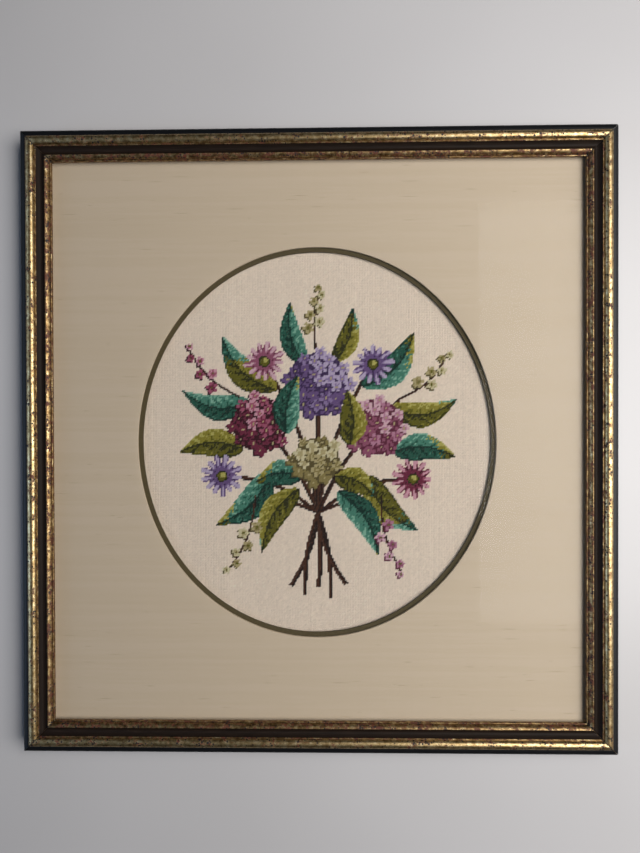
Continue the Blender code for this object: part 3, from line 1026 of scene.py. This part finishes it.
def stitch_mesh(name, points):
    """One mesh of many stitches, whose faces are laid out for all of them at once."""
    count = len(points)
    corners = np.array([corner for face in STITCH_FACES for corner in face])
    starts = np.cumsum([0] + [len(face) for face in STITCH_FACES[:-1]])
    nth = np.arange(count)[:, None]
    mesh = bpy.data.meshes.new(name)
    mesh.vertices.add(count * len(STITCH_POINTS))
    mesh.loops.add(count * len(corners))
    mesh.polygons.add(count * len(STITCH_FACES))
    fill(mesh.vertices, "co", points)
    fill(mesh.loops, "vertex_index", nth * len(STITCH_POINTS) + corners, np.int32)
    fill(mesh.polygons, "loop_start", nth * len(corners) + starts, np.int32)
    mesh.update(calc_edges=True)
    mesh.validate()
    mesh.shade_smooth()
    return mesh


def lay_stitches(name, rows, columns, material):
    """Slanted tent stitches as one piece, each with its yarn's colour and its place on a flat map."""
    dice = np.random.default_rng(len(name) * 1000 + len(rows))
    lean = np.random.default_rng(5).normal(0, 1, COLUMNS)[columns]
    x = CHART_X[rows, columns] * MM + WINDOW_MIDDLE[0]
    y = CHART_Y[rows, columns] * MM + WINDOW_MIDDLE[1]
    points = stitch_points(x, y, lean, dice)
    mesh = stitch_mesh(name, points)
    mesh.materials.append(material)
    palette = np.array([linear(code) for code in YARNS.values()])
    dye = palette[CHART[rows, columns]]
    dye[:, :3] *= (1 + dice.normal(0, 0.035, len(rows)) + 0.012 * lean)[:, None]
    dyed = np.repeat(np.clip(dye, 0, 1), len(STITCH_POINTS), axis=0)
    fill(mesh.color_attributes.new("yarn_colour", "FLOAT_COLOR", "POINT").data, "color", dyed)
    centres = np.stack([x, y], axis=-1)[:, None, :]
    flat = centres + (points[..., :2] - centres) * MAP_CELL_SHARE
    low, high = np.array(CANVAS_BOX)[:, :2]
    places = ((flat - low) / max(high - low)).reshape(-1, 2)
    fill(mesh.uv_layers.new(name="OFBake").data, "uv", places[corner_points(mesh)])
    piece = put_in_scene(mesh)
    stand_for(piece, None)
    return piece


def make_needlework():
    """The canvas sheet and its stitches, in four pieces."""
    work_posy()
    rows, columns = stitched_places()
    yarn = CHART[rows, columns]
    wool = stranded_wool()
    is_ground = yarn == YARN_NUMBER["ground"]
    is_green = yarn >= YARN_NUMBER["teal_deep"]
    upper = rows > ROWS // 2
    groups = (
        ("ground_stitches_upper", is_ground & upper),
        ("ground_stitches_lower", is_ground & ~upper),
        ("blossom_stitches", ~is_ground & ~is_green),
        ("leaf_and_stem_stitches", is_green),
    )
    worked = [lay_stitches(name, rows[chosen], columns[chosen], wool) for name, chosen in groups]
    low, high = CANVAS_BOX
    box = (low, (high[0], high[1], CANVAS_FACE))
    canvas = make_slab("canvas_sheet", "needlepoint_canvas", bare_canvas(), box, CANVAS_EDGE_BREAK)


# ---------------- room, light and camera

CAMERA_PLACE = (9.4 * MM, 12.6 * MM, 423.6 * MM)
CAMERA_TURN_DEG = (-0.44, 1.10, -0.175)
SENSOR_MM = 36.0
LENS_MM = 36.0  # as long as the sensor is wide: the view is as wide as it is far
CLIP_START = 10 * MM
FLOOR_REACH = 3.0
FLOOR_DROP = 0.05 * MM  # so that the floor doesn't meet the frame's back in one plane

# Each soft lamp: place, tilt towards the frame in degrees, size, power and tint, and what it gives:
# light, shine or both. The high one leaves no patch in the glass, and the pale blue wall only shines in
# gilt and black.
LAMPS = {
    "window_right": ((0.79, 0.03, 1.0), 0, (0.92, 0.92), 19.8, (1.0, 0.985, 0.965), "all"),
    "soft_high": ((0.52, 0.58, 1.0), 0, (0.4, 0.4), 2.4, (1.0, 0.985, 0.965), "light"),
    "window_low": ((1.7, 0.0, 0.75), 65, (0.9, 0.7), 6.5, (1.0, 0.975, 0.93), "all"),
    "far_window_left": ((-1.6, -0.35, 0.75), -65, (0.5, 0.7), 3.5, (0.45, 0.65, 1.0), "all"),
    "far_wall_left": ((-1.3, 0.0, 0.95), -50, (1.0, 1.6), 6.0, (0.55, 0.74, 1.0), "shine"),
}
ROOM_TINT = (0.94, 0.96, 1.0, 1.0)
ROOM_GLOW = 0.03


def set_camera():
    """Looks straight down at the picture, as in the photograph."""
    lens = bpy.data.cameras.new("camera")
    lens.sensor_fit = "HORIZONTAL"
    lens.sensor_width = SENSOR_MM
    lens.lens = LENS_MM
    lens.clip_start = CLIP_START
    camera = put_in_scene(lens)
    camera.location = CAMERA_PLACE
    camera.rotation_euler = [math.radians(angle) for angle in CAMERA_TURN_DEG]
    bpy.context.scene.camera = camera


def lay_floor():
    """A wide plain floor under the frame."""
    far = FLOOR_REACH
    corners = [(-far, -far, 0), (far, -far, 0), (far, far, 0), (-far, far, 0)]
    floor = new_piece("floor", corners, [(0, 1, 2, 3)], [pale_worktop()])
    floor.location.z = -FLOOR_DROP


def light_the_room():
    """A window on the right with a low sill, a dim far window and wall on the left, and a dim room."""
    for name, (place, tilt_deg, size, power, tint, gives) in LAMPS.items():
        panel = bpy.data.lights.new(name, "AREA")
        panel.shape = "RECTANGLE"
        panel.size, panel.size_y = size
        panel.energy = power
        panel.color = tint
        lamp = put_in_scene(panel)
        lamp.location = place
        lamp.rotation_euler.y = math.radians(tilt_deg)
        lamp.visible_glossy = gives != "light"
        lamp.visible_diffuse = gives != "shine"
    world = bpy.data.worlds.new("dim_room")
    bpy.context.scene.world = world
    world.use_nodes = True
    connect(world.node_tree.nodes["Background"], {"Color": ROOM_TINT, "Strength": ROOM_GLOW})
    bpy.context.scene.view_settings.view_transform = "Standard"


# ---------------- putting it together


def make_mats():
    """The silk-covered mat with its slubs, and the olive one inside it."""
    silk, olive = slubbed_silk(), olive_mat_paper()
    window = (SILK_WINDOW_X, SILK_WINDOW_Y, SILK_EDGE_RADIUS)
    make_mat("silk_covered_mat", "silk_mat", "silk_cloth", silk, SILK_BOX, *window)
    make_slubs()
    window = (OLIVE_WINDOW_X, OLIVE_WINDOW_Y, OLIVE_EDGE_RADIUS)
    make_mat("olive_inner_mat", "olive_mat", "olive_board", olive, OLIVE_BOX, *window)


def make_everything():
    """Every piece, from the room inwards."""
    set_camera()
    lay_floor()
    light_the_room()
    make_frame()
    make_slab("glass_sheet", "glass_pane", picture_glass(), GLASS_BOX, GLASS_EDGE_BREAK)
    make_mats()
    card = grey_backing_card()
    make_slab("backing_card", "backing_board", card, BACKING_BOX, CARD_EDGE_BREAK)
    make_needlework()


make_everything()
